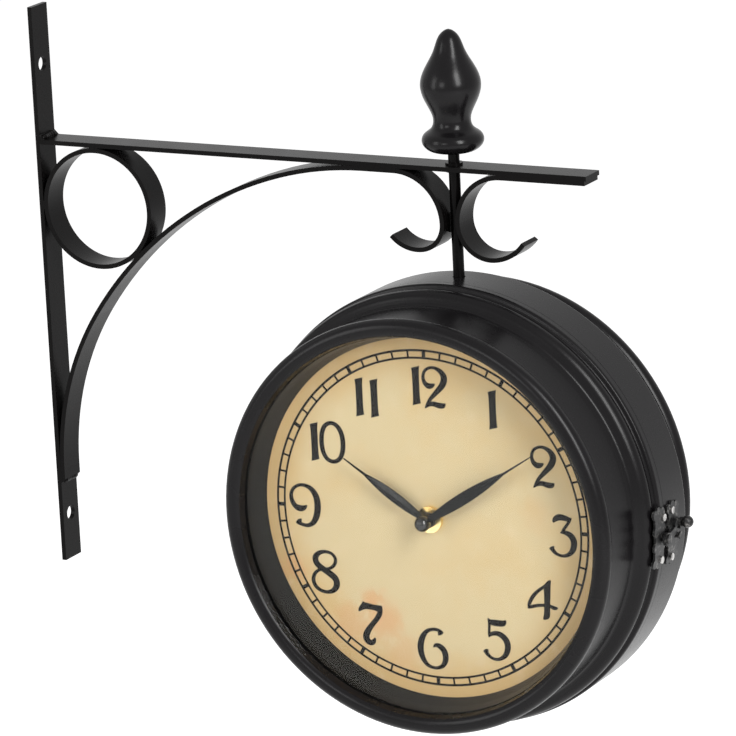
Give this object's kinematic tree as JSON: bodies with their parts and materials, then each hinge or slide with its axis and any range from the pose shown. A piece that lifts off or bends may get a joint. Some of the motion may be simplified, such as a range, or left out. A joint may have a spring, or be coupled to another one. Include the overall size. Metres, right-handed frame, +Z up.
{
  "type": "double sided station clock",
  "caption": "Round case with a dial on each face, hung from a rod below a wall bracket with a corner ring, a curved brace, two scrolls and a pointed finial.",
  "frame": {"origin": "midway between the two wall screw holes, on the back face of the wall strip", "axes": "+Z up, +X out from the wall along the arm, the front dial faces -Y and the rear dial +Y"},
  "size_m": [0.3754, 0.106, 0.3692],
  "materials": {
    "black_steel": "satin charcoal black paint",
    "black_casting": "satin charcoal black paint on a turned casting",
    "zinc_steel": "zinc plated steel",
    "dark_hardware": "dark antiqued metal",
    "glass": "clear flat glass",
    "dial": "aged tan printed paper on a thin metal disc",
    "rubber": "matt",
    "brass": "bright brass",
    "black_plastic": "moulded",
    "battery": "plain wrapped cell",
    "hand_black": "satin black"
  },
  "bodies": {
    "bracket": {"wall_strip": "black_steel", "arm_bar": "black_steel", "corner_ring": "black_steel", "brace_scroll": "black_steel", "end_scroll": "black_steel", "weld_beads": "black_steel", "hanger_rod": "black_steel", "finial": "black_casting", "rod_washer": "zinc_steel", "rod_nut": "zinc_steel"},
    "case": {"rear_shell": "black_steel", "hanger_block": "zinc_steel", "hinge_case_leaf": "black_steel", "hinge_pin": "dark_hardware", "keeper_plate": "dark_hardware", "keeper_screws": "dark_hardware", "keeper_stud": "dark_hardware", "rear_bezel": "black_steel", "rear_glass": "glass", "rear_glass_ring": "black_steel", "rear_dial_surround": "black_steel", "rear_dial": "dial", "rear_dial_pad": "rubber", "rear_dial_nut": "brass", "rear_movement": "black_plastic", "rear_battery": "battery"},
    "front_door": {"front_shell": "black_steel", "hinge_door_leaf": "black_steel", "latch_plate": "dark_hardware", "latch_screws": "dark_hardware", "latch_pivot": "dark_hardware", "front_bezel": "black_steel", "front_glass": "glass", "front_glass_ring": "black_steel", "front_dial_surround": "black_steel", "front_dial": "dial", "front_dial_pad": "rubber", "front_dial_nut": "brass", "front_movement": "black_plastic", "front_battery": "battery"},
    "latch_hook": {"latch_hook": "dark_hardware", "latch_knob": "dark_hardware"},
    "front_minute": {"front_minute_hand": "hand_black", "front_minute_shaft": "brass", "front_minute_cap": "hand_black"},
    "front_hour": {"front_hour_hand": "hand_black", "front_hour_tube": "brass"},
    "front_setter": {"front_set_knob": "black_plastic"},
    "rear_minute": {"rear_minute_hand": "hand_black", "rear_minute_shaft": "brass", "rear_minute_cap": "hand_black"},
    "rear_hour": {"rear_hour_hand": "hand_black", "rear_hour_tube": "brass"},
    "rear_setter": {"rear_set_knob": "black_plastic"}
  },
  "joints": [
    {"name": "case_swivel", "type": "hinge", "parent": "bracket", "child": "case", "pos_m": [0.247, 0, 0], "axis": [0, 0, 1], "continuous": true},
    {"name": "door_hinge", "type": "hinge", "parent": "case", "child": "front_door", "pos_m": [0.1248, -0.013, -0.0935], "axis": [0, 0, -1], "range_deg": [0, 100]},
    {"name": "latch_swing", "type": "hinge", "parent": "front_door", "child": "latch_hook", "pos_m": [0.368, -0.0174, -0.1004], "axis": [1, 0, 0], "range_deg": [-20, 80]},
    {"name": "front_minute_turn", "type": "hinge", "parent": "front_door", "child": "front_minute", "pos_m": [0.247, -0.013, -0.0935], "axis": [0, 1, 0], "continuous": true},
    {"name": "front_hour_turn", "type": "hinge", "parent": "front_door", "child": "front_hour", "pos_m": [0.247, -0.013, -0.0935], "axis": [0, 1, 0], "continuous": true},
    {"name": "front_set_turn", "type": "hinge", "parent": "front_door", "child": "front_setter", "pos_m": [0.259, -0.013, -0.0805], "axis": [0, 1, 0], "continuous": true},
    {"name": "rear_minute_turn", "type": "hinge", "parent": "case", "child": "rear_minute", "pos_m": [0.247, -0.013, -0.0935], "axis": [0, -1, 0], "continuous": true},
    {"name": "rear_hour_turn", "type": "hinge", "parent": "case", "child": "rear_hour", "pos_m": [0.247, -0.013, -0.0935], "axis": [0, -1, 0], "continuous": true},
    {"name": "rear_set_turn", "type": "hinge", "parent": "case", "child": "rear_setter", "pos_m": [0.235, -0.013, -0.0805], "axis": [0, -1, 0], "continuous": true}
  ],
  "couplings": [
    {"joint": "front_hour_turn", "follows": "front_minute_turn", "ratio": 0.083333},
    {"joint": "front_set_turn", "follows": "front_minute_turn", "ratio": -0.33333},
    {"joint": "rear_hour_turn", "follows": "rear_minute_turn", "ratio": 0.083333},
    {"joint": "rear_set_turn", "follows": "rear_minute_turn", "ratio": -0.33333}
  ]
}
